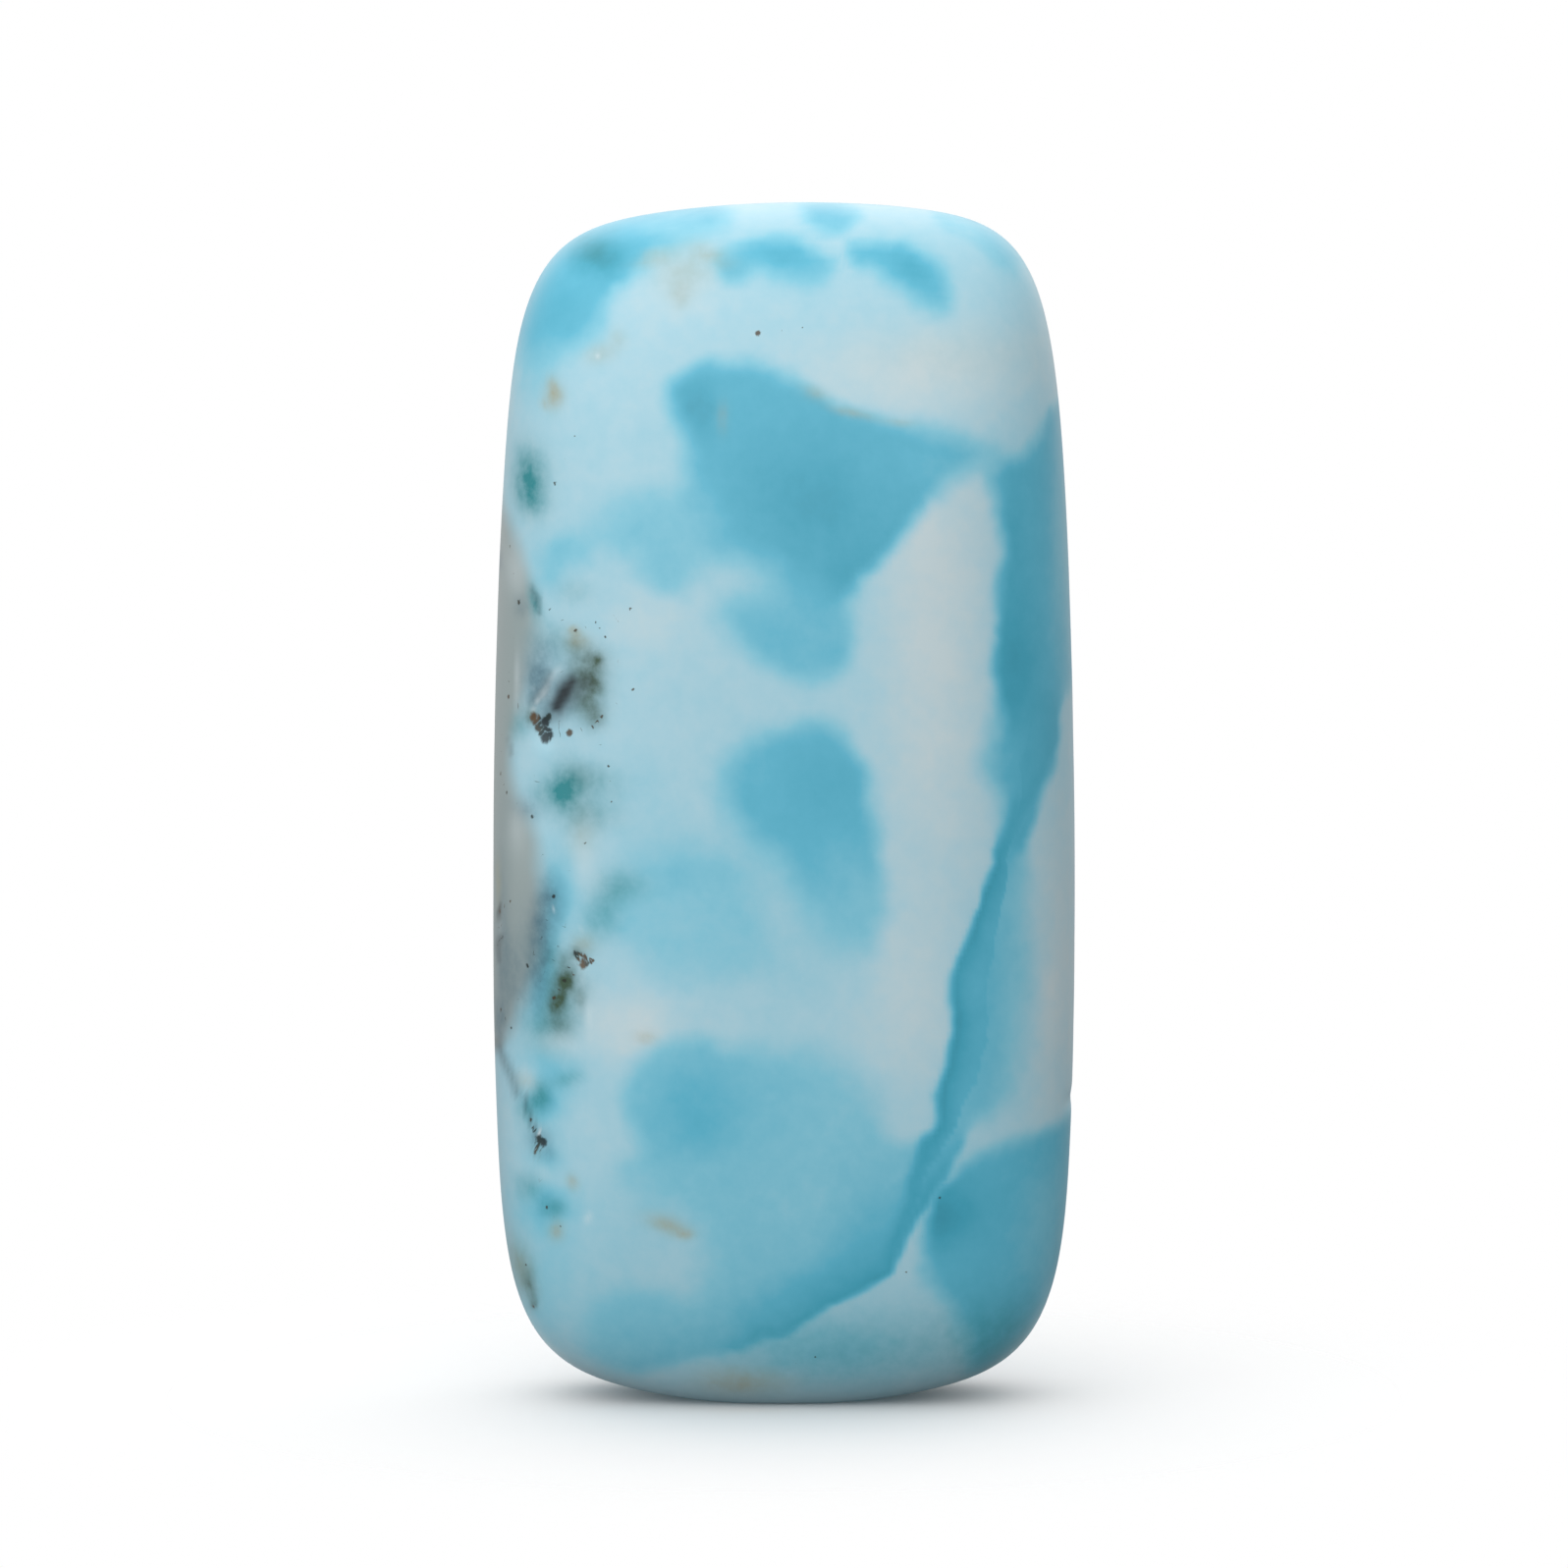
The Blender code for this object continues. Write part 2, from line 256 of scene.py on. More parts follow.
# Soft changes of the blue's depth: x, z, half width, half height, turn in degrees, change.
DEEPER = [
    (-2.8, 33.7, 0.7, 1.0, 0, 0.14), (0.0, 31.2, 2.0, 1.4, 0, 0.08), (1.3, 30.2, 1.2, 1.6, -30, 0.10),
    (2.0, 28.3, 0.9, 0.7, 40, 0.08), (4.6, 31.8, 1.6, 1.0, 0, -0.08), (-2.4, 30.0, 1.0, 1.6, 0, -0.08),
    (1.2, 21.2, 1.2, 1.3, 0, 0.08), (2.4, 17.4, 1.2, 1.6, 0, -0.16), (-3.0, 18.3, 1.4, 0.7, 0, 0.08),
    (-3.0, 10.7, 1.6, 1.2, 0, 0.14), (-2.8, 9.5, 1.4, 0.8, 0, 0.10), (0.5, 7.5, 2.5, 1.6, 0, -0.05),
    (2.6, 6.2, 1.2, 1.4, -30, 0.10), (2.2, 10.5, 1.5, 1.5, 0, -0.06), (1.0, 4.4, 2.2, 0.8, 25, 0.12),
    (7.7, 25.2, 0.7, 1.6, 0, 0.16), (7.5, 23.6, 0.8, 0.9, 0, 0.06), (7.6, 29.5, 0.5, 2.5, 0, 0.06),
    (9.3, 28.5, 0.6, 4.5, 0, -0.16), (7.7, 19.6, 0.5, 1.0, 0, 0.12),
    (5.4, 6.6, 0.8, 1.0, -20, 0.22), (8.9, 6.0, 1.2, 2.5, 0, -0.16), (7.4, 2.4, 1.6, 1.5, 0, 0.08),
    (-6.2, 38.4, 0.9, 0.6, 0, 0.30), (-7.3, 36.8, 0.9, 0.6, 0, 0.06), (-3.5, 39.3, 1.2, 0.4, 0, -0.2),
    (-0.1, 38.5, 0.9, 0.4, 0, 0.16), (4.2, 38.1, 1.0, 0.45, -30, 0.16),
    (6.9, 14.5, 0.7, 3.5, 0, 0.05),
]
# The faint blue of the white stone, and where it is stronger or weaker, in the same terms.
FAINT = 0.20
HAZE = [
    (5.0, 29.0, 1.8, 4.0, 0, -0.16), (5.0, 22.5, 1.8, 5.5, 0, -0.16), (4.0, 14.0, 1.6, 3.0, 0, -0.14),
    (4.5, 34.8, 4.0, 1.4, 5, -0.16), (8.9, 15.0, 0.9, 5.0, 0, -0.18), (-5.0, 13.2, 1.4, 1.2, 0, -0.18),
    (-4.6, 26.5, 1.4, 1.0, 0, -0.10), (-3.5, 37.0, 1.5, 1.0, 0, -0.08),
    (-7.2, 28.8, 0.9, 0.6, 20, 0.26), (-7.8, 27.9, 0.6, 0.6, 0, 0.16), (-5.6, 29.6, 1.2, 0.8, 0, 0.08),
    (-8.4, 34.8, 0.8, 1.2, 0, 0.14), (1.5, 2.2, 3.8, 1.3, 0, 0.22), (0.5, 15.4, 2.5, 1.2, 0, 0.06),
    (-5.0, 6.0, 1.6, 2.0, 0, 0.06), (-7.8, 5.0, 1.2, 2.5, 0, 0.12), (-5.0, 21.0, 1.8, 1.2, 0, 0.06),
    (7.8, 38.0, 1.0, 1.6, 30, 0.06), (-7.5, 11.5, 0.8, 0.6, 0, 0.22),
    (-8.0, 10.4, 0.6, 0.7, 0, 0.3), (-7.8, 8.6, 0.6, 0.6, 0, 0.2), (-7.9, 7.0, 0.9, 0.7, 0, 0.26),
    (-7.4, 17.5, 0.5, 1.2, 0, 0.25), (-8.0, 15.0, 0.6, 2.5, 0, 0.3), (8.7, 38.0, 0.5, 1.2, 0, 0.1),
    (6.6, 31.9, 0.8, 0.6, 0, 0.2), (-8.5, 2.5, 1.0, 1.5, 0, 0.12), (1.2, 27.6, 1.2, 0.9, 0, 0.22),
]

# The grey matrix that the blue stone grew on shows down the left edge.
MATRIX = [
    (-10.6, 30.8, 0.4, 0.0), (-9.5, 30.2, 0.35, 0.0), (-9.0, 29.4, 0.3, 0.0), (-8.7, 28.6, 0.3, 0.0),
    (-8.45, 27.8, 0.25, 0.0), (-8.3, 27.0, 0.25, 0.0), (-8.2, 26.2, 0.35, 0.0), (-8.3, 25.4, 0.4, 0.0),
    (-8.5, 24.4, 0.3, 0.0), (-8.7, 23.6, 0.3, 0.0), (-8.85, 23.0, 0.25, 0.0), (-9.05, 22.2, 0.2, 0.0),
    (-9.1, 21.5, 0.25, 0.0), (-8.9, 20.7, 0.3, 0.0), (-8.5, 20.0, 0.35, 0.0), (-8.2, 19.2, 0.35, 0.0),
    (-8.15, 18.2, 0.35, 0.0), (-8.0, 17.0, 0.3, 0.0), (-8.0, 16.0, 0.25, 0.0), (-8.2, 15.0, 0.3, 0.0),
    (-8.5, 14.2, 0.35, 0.0), (-8.8, 13.4, 0.3, 0.0), (-9.1, 12.7, 0.25, 0.0), (-9.5, 12.0, 0.15, 0.0),
    (-10.6, 11.8, 0.3, 0.0),
]
# Soft stains, each as x, z, half width, half height, turn and strength. Two wide teal marks low on the front, near
# the foot, are painted shade rather than stain.
SLATE = [
    (-8.15, 24.5, 0.45, 0.8, 0, 0.75), (-7.9, 25.6, 0.6, 0.5, 0, 0.3), (-7.75, 17.2, 0.45, 0.9, 0, 0.55),
    (-8.1, 15.8, 0.45, 1.3, 0, 0.7), (-8.2, 14.2, 0.4, 0.9, 0, 0.35), (-7.2, 24.2, 0.75, 0.95, -35, 0.5),
    (-9.0, 14.5, 0.5, 1.5, 0, 0.4), (-9.35, 16.0, 0.25, 3.0, 0, 0.35), (-8.7, 26.9, 0.3, 0.4, 0, 0.35),
    (-9.5, 12.8, 0.25, 0.9, 0, 0.5), (-8.6, 20.2, 0.5, 0.4, 0, 0.4), (-8.1, 9.1, 0.4, 0.4, 0, 0.4),
    (-7.8, 8.7, 0.3, 0.3, 0, 0.25), (-9.45, 28.2, 0.12, 0.4, 0, 0.5),
]
TEAL_STAIN_AND_FOOT_SHADE = [
    (-8.4, 31.2, 0.55, 0.9, 0, 0.95), (-8.3, 30.3, 0.5, 0.5, 0, 0.4), (-7.2, 20.9, 0.55, 0.8, 0, 0.95),
    (-6.3, 21.2, 0.9, 0.55, 0, 0.35), (-7.9, 20.8, 0.5, 0.5, 0, 0.35), (-6.2, 20.2, 0.8, 0.5, 0, 0.3),
    (-5.4, 17.8, 0.8, 0.5, 0, 0.45), (-6.0, 16.8, 0.55, 0.8, -20, 0.45), (-7.9, 15.4, 0.45, 0.8, 0, 0.4),
    (-8.1, 10.6, 0.35, 0.45, 0, 0.8), (-8.5, 10.0, 0.35, 0.5, 20, 0.45), (-7.2, 11.3, 0.5, 0.25, 20, 0.4),
    (-8.5, 7.5, 0.45, 0.45, 0, 0.4), (-7.7, 6.9, 0.4, 0.3, 0, 0.6), (-8.25, 27.1, 0.22, 0.55, 15, 0.75),
    (-6.2, 38.5, 0.7, 0.5, 0, 0.45), (-7.4, 13.5, 0.8, 1.3, -10, 0.35), (-8.1, 12.8, 0.6, 0.6, 0, 0.3),
    # The first two marks on the next line, wide and low near the foot, are painted shade: teal that darkens the
    # lower front.
    (2.5, 2.0, 4.5, 1.4, 0, 0.28), (7.2, 2.2, 1.6, 1.6, 0, 0.35), (-8.8, 22.9, 0.3, 0.5, 0, 0.45),
    (-6.9, 27.5, 0.6, 0.4, 0, 0.2), (-8.7, 4.5, 0.4, 1.0, 10, 0.3), (-7.6, 25.9, 0.8, 0.6, 0, 0.3),
]
TAN = [
    (-7.6, 33.9, 0.3, 0.4, 0, 0.75), (-7.7, 34.3, 0.2, 0.25, 0, 0.35), (-7.9, 33.6, 0.15, 0.15, 0, 0.4),
    (-3.3, 38.0, 1.0, 0.6, 0, 0.32), (-2.4, 38.5, 0.8, 0.25, -20, 0.3), (-4.3, 38.4, 0.6, 0.15, 15, 0.45),
    (-3.4, 37.2, 0.4, 0.35, 0, 0.3), (-3.9, 6.5, 0.65, 0.28, -15, 0.6), (-3.3, 6.15, 0.3, 0.15, 0, 0.5),
    (-1.4, 0.9, 1.4, 0.5, 0, 0.55), (-7.6, 6.15, 0.25, 0.35, 0, 0.5), (-7.0, 7.8, 0.2, 0.25, 0, 0.45),
    (-6.1, 35.3, 0.5, 0.3, 20, 0.3), (-5.5, 35.8, 0.3, 0.3, 0, 0.2), (-4.6, 12.8, 0.35, 0.2, 0, 0.35),
    (2.2, 33.4, 0.7, 0.15, -15, 0.4), (3.8, 33.1, 0.5, 0.12, -5, 0.25), (1.0, 34.1, 0.5, 0.25, -20, 0.3),
    (-2.0, 33.3, 0.2, 0.5, 0, 0.25), (-8.6, 11.1, 0.3, 0.25, 0, 0.3), (-6.8, 25.9, 0.35, 0.3, 0, 0.6),
    (-6.9, 26.25, 0.2, 0.12, 0, 0.5), (-6.7, 19.4, 0.5, 0.7, 0, 0.25), (-6.6, 15.8, 0.4, 0.4, 0, 0.35),
    (-8.8, 4.7, 0.4, 0.9, 12, 0.4), (-9.5, 17.5, 0.1, 0.8, 0, 0.5), (7.6, 0.9, 1.2, 0.3, 20, 0.35),
    (5.5, 35.3, 3.0, 1.0, 0, 0.10),
]
OLIVE = [
    (-6.5, 24.3, 0.55, 0.95, 0, 0.75), (-6.4, 25.2, 0.6, 0.5, 0, 0.45), (-6.1, 25.3, 0.18, 0.2, 0, 0.5),
    (-6.2, 24.5, 0.25, 0.2, -20, 0.4), (-6.2, 23.4, 0.3, 0.35, 0, 0.45), (-6.9, 25.7, 0.4, 0.35, 0, 0.25),
    (-7.25, 14.55, 0.28, 0.45, -10, 0.85), (-7.55, 13.8, 0.25, 0.35, -15, 0.85),
    (-7.45, 13.1, 0.5, 0.45, -20, 0.45), (-7.0, 14.4, 0.55, 0.9, -15, 0.3), (-7.6, 14.3, 0.3, 0.6, 0, 0.3),
    (-6.7, 14.0, 0.2, 0.4, 0, 0.3), (-6.85, 15.5, 0.2, 0.2, 0, 0.6), (-7.3, 15.3, 0.4, 0.35, 0, 0.35),
    (-8.45, 4.0, 0.18, 0.45, 12, 0.5), (-8.6, 4.3, 0.3, 0.8, 12, 0.25), (-8.35, 3.4, 0.12, 0.15, 0, 0.5),
    (-8.35, 23.3, 0.22, 0.3, 0, 0.75), (-8.2, 8.75, 0.12, 0.18, 20, 0.5), (-6.6, 21.4, 0.6, 0.5, 0, 0.2),
    (-6.6, 20.1, 0.5, 0.6, 0, 0.15),
]
# Dark strokes, each a strength, a softness and the points (x, z, half width) that it passes.
DARK = [
    (0.95, 0.28, [(-6.95, 24.55, 0.10), (-7.2, 24.15, 0.20), (-7.5, 23.65, 0.16)]),
    (0.45, 0.35, [(-6.5, 24.6, 0.15), (-7.0, 24.3, 0.35), (-7.6, 23.5, 0.25), (-7.9, 23.2, 0.1)]),
    (0.40, 0.25, [(-7.75, 24.7, 0.05), (-7.9, 24.2, 0.1), (-8.3, 23.8, 0.1)]),
    (0.45, 0.25, [(-9.5, 12.05, 0.08), (-9.0, 11.1, 0.08), (-8.85, 10.6, 0.06)]),
    (0.40, 0.12, [(-8.65, 10.6, 0.04), (-8.5, 10.1, 0.06), (-8.35, 9.7, 0.06), (-8.15, 9.3, 0.05)]),
    (0.35, 0.12, [(-8.4, 27.6, 0.02), (-8.15, 27.1, 0.08), (-8.1, 26.7, 0.02)]),
    (0.30, 0.12, [(-9.1, 22.4, 0.02), (-9.05, 21.9, 0.05)]),
    (0.60, 0.08, [(-9.45, 16.9, 0.03), (-9.48, 16.4, 0.05)]),
    (0.35, 0.12, [(-9.4, 15.8, 0.03), (-9.5, 15.4, 0.06), (-9.45, 14.9, 0.03)]),
]
# Single specks as x, z, half width and tone: 0 is black, 1 is rust.
SPECKS = [
    (-7.86, 22.60, 0.19, 0.0), (-7.72, 22.72, 0.12, 0.0), (-7.88, 23.12, 0.16, 0.0),
    (-7.76, 23.32, 0.12, 0.3), (-8.12, 22.92, 0.14, 0.5), (-8.27, 23.25, 0.16, 1.0),
    (-7.08, 22.84, 0.11, 0.7), (-8.12, 9.15, 0.15, 0.2), (-7.98, 9.08, 0.14, 0.0),
    (-8.28, 8.75, 0.08, 0.6), (-6.53, 15.22, 0.11, 0.4), (-6.63, 15.12, 0.13, 1.0),
    (-6.32, 15.28, 0.06, 0.8), (-6.57, 15.42, 0.09, 0.9), (-6.88, 15.50, 0.09, 0.2),
    (-7.26, 14.58, 0.07, 0.3), (-7.60, 13.98, 0.06, 0.5), (-0.86, 36.0, 0.08, 0.7),
    (-7.56, 31.02, 0.06, 0.4), (-6.88, 26.21, 0.06, 0.5), (-5.06, 26.99, 0.04, 0.5),
    (-4.97, 24.33, 0.04, 0.6), (-9.12, 23.82, 0.07, 0.6), (-9.07, 24.65, 0.04, 0.5),
    (-8.78, 27.02, 0.07, 0.4), (-9.35, 22.45, 0.04, 0.6), (-9.38, 21.2, 0.06, 0.5),
    (-9.22, 20.65, 0.05, 0.5), (-8.33, 19.96, 0.07, 0.2), (-7.62, 17.35, 0.06, 0.1),
    (-9.06, 17.04, 0.05, 0.7), (-8.51, 14.97, 0.06, 0.2), (-9.47, 16.6, 0.07, 0.9),
    (-9.37, 15.78, 0.05, 0.3), (-9.49, 15.45, 0.06, 0.2), (-9.4, 13.3, 0.07, 0.5),
    (-9.05, 12.8, 0.05, 0.2), (-8.03, 15.94, 0.05, 0.2), (-6.56, 19.2, 0.04, 0.5),
    (-8.41, 9.8, 0.06, 0.5), (-7.88, 6.88, 0.05, 0.5), (-7.4, 6.3, 0.03, 0.5),
    (-0.42, 0.68, 0.05, 0.1), (-0.18, 1.45, 0.03, 0.2), (-6.0, 23.42, 0.06, 0.5),
    (-6.31, 23.05, 0.05, 0.5), (-5.78, 21.8, 0.04, 0.4), (-9.52, 7.45, 0.07, 0.3),
    (9.66, 10.15, 0.16, 1.0), (5.15, 7.38, 0.04, 0.4), (4.05, 4.85, 0.03, 0.6), (-8.6, 4.8, 0.05, 0.4),
    (-8.35, 3.35, 0.06, 0.5), (-6.9, 32.6, 0.03, 0.5), (0.6, 36.2, 0.02, 0.5), (-9.1, 28.8, 0.04, 0.5),
    (-5.9, 26.05, 0.04, 0.4), (-6.2, 26.5, 0.03, 0.4), (-7.74, 26.86, 0.04, 0.3), (-5.68, 20.6, 0.03, 0.5),
    (9.15, 16.4, 0.03, 0.5), (9.1, 9.8, 0.03, 0.5), (1.05, 1.87, 0.04, 0.2),
]
# Pale flecks, in the terms of the stains.
PALE = [
    (-8.26, 24.32, 0.04, 0.05, 0, 0.8), (-8.17, 23.72, 0.05, 0.09, -30, 0.9),
    (-8.3, 23.5, 0.14, 0.05, 30, 0.4), (-7.95, 24.1, 0.12, 0.4, -35, 0.35),
    (-7.55, 24.75, 0.12, 0.35, -35, 0.25), (-8.1, 9.4, 0.07, 0.1, 0, 0.8),
    (-6.7, 16.4, 0.05, 0.05, 0, 0.5), (-7.63, 16.97, 0.04, 0.05, 0, 0.4), (-6.5, 6.65, 0.1, 0.25, -20, 0.4),
    (-6.4, 13.4, 0.15, 0.5, 0, 0.35), (-6.15, 35.2, 0.08, 0.08, 0, 0.5), (-8.8, 24.5, 0.08, 0.9, -3, 0.35),
    (-8.85, 19.5, 0.3, 0.9, 0, 0.25), (-9.4, 16.1, 0.05, 0.2, 0, 0.6), (-8.9, 28.0, 0.35, 0.8, 0, 0.3),
    (-3.5, 5.95, 0.07, 0.03, 0, 0.6), (-8.6, 21.9, 0.3, 0.6, 0, 0.15), (-8.5, 11.2, 0.3, 0.4, 0, 0.3),
    (-6.6, 18.6, 0.4, 1.0, 0, 0.2), (-7.9, 8.0, 0.6, 0.3, -20, 0.2), (-7.4, 12.5, 0.9, 0.35, 0, 0.3),
]

# The unseen sides are a guess in the manner of the front. Round cells as x, y, z, radius and depth.
ROUND_CELLS = [
    (9.4, 2.2, 28.0, 4.6, 0.62), (9.6, 5.0, 20.0, 2.8, 0.50), (9.4, 2.5, 6.0, 4.4, 0.60),
    (9.6, 4.0, 13.0, 2.4, 0.42), (8.8, 4.5, 35.2, 3.2, 0.52), (-9.2, 3.6, 34.5, 3.6, 0.52),
    (-9.4, 4.2, 8.0, 3.8, 0.52), (-9.2, 5.5, 15.0, 2.4, 0.42), (-9.2, 5.2, 27.5, 2.6, 0.55),
    (-4.6, 6.2, 32.5, 4.6, 0.62), (3.0, 6.2, 34.6, 3.3, 0.48), (5.2, 6.2, 26.2, 3.9, 0.64),
    (-1.6, 6.2, 24.4, 3.2, 0.50), (-6.0, 6.2, 19.6, 3.4, 0.60), (2.4, 6.2, 17.2, 4.5, 0.60),
    (-3.2, 6.2, 10.6, 4.6, 0.56), (5.6, 6.2, 8.4, 3.6, 0.66), (1.0, 6.2, 3.2, 2.8, 0.46),
    (-6.8, 5.6, 3.0, 2.8, 0.45), (-3.8, 1.8, 39.8, 2.4, 0.46), (2.2, 3.0, 39.8, 2.8, 0.52),
    (6.4, 1.0, 39.2, 2.2, 0.46), (0.0, 0.0, -0.5, 3.4, 0.50), (-6.0, 1.5, 0.8, 2.4, 0.42),
]
ROUND_MATRIX = [(-10.0, 1.2, 22.5, 2.4, 2.6, 9.0, 1.3), (-9.6, 3.4, 17.0, 1.6, 1.8, 3.5, 0.8)]
# Marks in the round as x, y, z, three half sizes and strength.
ROUND_SLATE = [(-9.6, 2.4, 16.0, 1.5, 0.8, 3.0, 0.6), (-9.6, 3.8, 22.0, 1.0, 0.6, 2.2, 0.5)]
ROUND_TEAL = [
    (-9.4, 4.0, 24.5, 1.2, 1.0, 1.6, 0.7), (-8.8, 5.0, 12.0, 1.2, 1.0, 1.0, 0.6),
    (-4.0, 6.2, 14.6, 1.0, 1.0, 0.8, 0.6), (6.8, 6.0, 31.0, 0.8, 1.0, 1.2, 0.5),
    (-7.2, 5.8, 30.0, 0.9, 1.0, 0.7, 0.6), (0.6, 6.2, 28.6, 0.8, 1.0, 0.6, 0.45),
]
ROUND_TAN = [
    (-7.0, 5.8, 24.0, 0.7, 1.0, 0.5, 0.5), (0.8, 6.2, 12.4, 0.9, 1.0, 0.4, 0.45),
    (8.6, 4.6, 10.2, 0.5, 0.8, 0.5, 0.5), (-1.8, 6.0, 36.8, 1.0, 1.0, 0.4, 0.4),
    (9.0, 4.0, 24.0, 0.6, 0.6, 0.8, 0.3),
]
ROUND_OLIVE = [
    (-9.2, 4.3, 23.8, 0.8, 0.45, 0.9, 0.9), (-8.9, 5.2, 11.6, 0.6, 0.5, 0.5, 0.8),
    (-4.3, 6.2, 14.9, 0.5, 0.8, 0.35, 0.7), (-6.9, 5.9, 24.4, 0.4, 0.8, 0.3, 0.6),
]
ROUND_PALE = [(-9.6, 1.8, 24.0, 1.0, 0.25, 3.0, 0.35)]
# Every stain, and the teal painted shade near the foot, as its name, its marks on the front and its marks in the
# round.
STAINS_AND_FOOT_SHADE = [
    ("teal", TEAL_STAIN_AND_FOOT_SHADE, ROUND_TEAL), ("slate", SLATE, ROUND_SLATE), ("tan", TAN, ROUND_TAN),
    ("olive", OLIVE, ROUND_OLIVE), ("pale", PALE, ROUND_PALE),
]
# The unseen sides have this many scattered specks, within these half widths and tones.
SCATTERED_SPECKS = 46
SCATTERED_HALF_WIDTHS = (0.02, 0.06)
SCATTERED_TONES = (0.1, 0.6)
# How much the white stone is clouded with blue, in steps of about half a millimetre.
CLOUDING = 0.05


def smooth_step(value, low, high):
    """0 below low, 1 above high, and a smooth S between them."""
    share = np.clip((value - low) / (high - low), 0, 1)
    return share * share * (3 - 2 * share)


def smooth_noise(points, size, seed):
    """Values between -1 and 1 that drift over about this size in millimetres.

    The corners of a grid of that size hold seeded random values. A point takes the eight around it,
    weighted along each axis by the smooth step 3t^2 - 2t^3.
    """
    table = np.random.default_rng(seed).uniform(-1, 1, (32, 32, 32))
    scaled = points / size + 1000
    cell = np.floor(scaled).astype(int)
    share = smooth_step(scaled - cell, 0, 1)
    total = np.zeros(len(points))
    for corner in np.ndindex(2, 2, 2):
        i, j, k = ((cell + corner) % 32).T
        total += table[i, j, k] * np.prod(np.where(np.array(corner) == 1, share, 1 - share), axis=1)
    return total


def ring_curve(outline):
    """A ring's points with five more to each side, on the cubic through each corner and its neighbours."""
    corner = np.array(outline, float)
    before, after, beyond = (np.roll(corner, n, axis=0) for n in (1, -1, -2))
    pieces = []
    for t in np.arange(6) / 6:
        pieces.append(
            corner * (1.5 * t**3 - 2.5 * t**2 + 1) + after * (2 * t**2 - 1.5 * t**3 + 0.5 * t)
            + before * (t**2 - 0.5 * t**3 - 0.5 * t) + beyond * (0.5 * t**3 - 0.5 * t**2)
        )
    return np.stack(pieces, axis=1).reshape(-1, corner.shape[1])


def ring_depth(outline, x, z):
    """How far inside a ring each point lies, counted in softnesses, and how much its rim deepens it.

    The nearest point of the curve gives the distance, the softness and the rim, and an odd number of
    crossings to the right means inside. The rim fades as exp(-distance in / RIM_WIDTH).
    """
    curve = ring_curve(outline)
    nearest, softness, rim = np.full(len(x), 1e9), np.ones(len(x)), np.zeros(len(x))
    inside = np.zeros(len(x), bool)
    for (x0, z0, s0, r0), (x1, z1, s1, r1) in zip(curve, np.roll(curve, -1, axis=0)):
        dx, dz = x1 - x0, z1 - z0
        along = np.clip(((x - x0) * dx + (z - z0) * dz) / (dx * dx + dz * dz + 1e-12), 0, 1)
        away = np.hypot(x - x0 - along * dx, z - z0 - along * dz)
        closer = away < nearest
        nearest = np.where(closer, away, nearest)
        softness = np.where(closer, s0 + along * (s1 - s0), softness)
        rim = np.where(closer, r0 + along * (r1 - r0), rim)
        if z0 != z1:
            inside ^= ((z0 > z) != (z1 > z)) & (x < x0 + (z - z0) * dx / (z1 - z0))
    inward = np.where(inside, nearest, -nearest)
    return inward / softness, rim * np.exp(-np.maximum(inward, 0) / RIM_WIDTH)


def blobs(marks, x, z):
    """The sum of soft round marks, each strength * exp(-(distance in its half sizes)^2)."""
    total = np.zeros(len(x))
    for x0, z0, half_width, half_height, turn, strength in marks:
        c, s = math.cos(math.radians(turn)), math.sin(math.radians(turn))
        across = ((x - x0) * c + (z - z0) * s) / half_width
        up = ((z - z0) * c - (x - x0) * s) / half_height
        total += strength * np.exp(-(across**2 + up**2))
    return total


def clouds(marks, points):
    """The same sum for marks in the round, each x, y, z, three half sizes and a strength."""
    total = np.zeros(len(points))
    for *middle_and_sizes, strength in marks:
        middle, sizes = np.array(middle_and_sizes[:3]), np.array(middle_and_sizes[3:])
        total += strength * np.exp(-(((points - middle) / sizes) ** 2).sum(axis=1))
    return total


def strokes(marks, x, z):
    """The strongest of the soft strokes at each point: full within its width, gone one softness beyond."""
    strongest = np.zeros(len(x))
    for strength, softness, path in marks:
        for (x0, z0, w0), (x1, z1, w1) in zip(path, path[1:]):
            dx, dz = x1 - x0, z1 - z0
            along = np.clip(((x - x0) * dx + (z - z0) * dz) / (dx * dx + dz * dz), 0, 1)
            away = np.hypot(x - x0 - along * dx, z - z0 - along * dz) - w0 - along * (w1 - w0)
            strongest = np.maximum(strongest, strength * (1 - smooth_step(away, -softness / 2, softness)))
    return strongest


def front_blue(x, z):
    """How blue the front is, from 0 white to 1 deepest: the faint blue of the white stone, the cells laid
    over it by their cover, and the flow of blue with its dark line over those."""
    amount, shares = np.zeros(len(x)), np.zeros(len(x))
    for outline, depth in CELLS_OF_BLUE:
        inward, rim = ring_depth(outline, x, z)
        cover = smooth_step(inward, -EDGE_REACH, EDGE_REACH)
        amount += cover * (depth + rim)
        shares += cover
    deeper = blobs(DEEPER, x, z)
    blue = np.clip(FAINT + blobs(HAZE, x, z), 0, 1)
    blue += np.clip(shares, 0, 1) * (amount / np.maximum(shares, 1e-6) + deeper - blue)
    inward, rim = ring_depth(FLOW, x, z)
    return blue + smooth_step(inward, -EDGE_REACH, EDGE_REACH) * (FLOW_DEPTH + rim + deeper - blue)


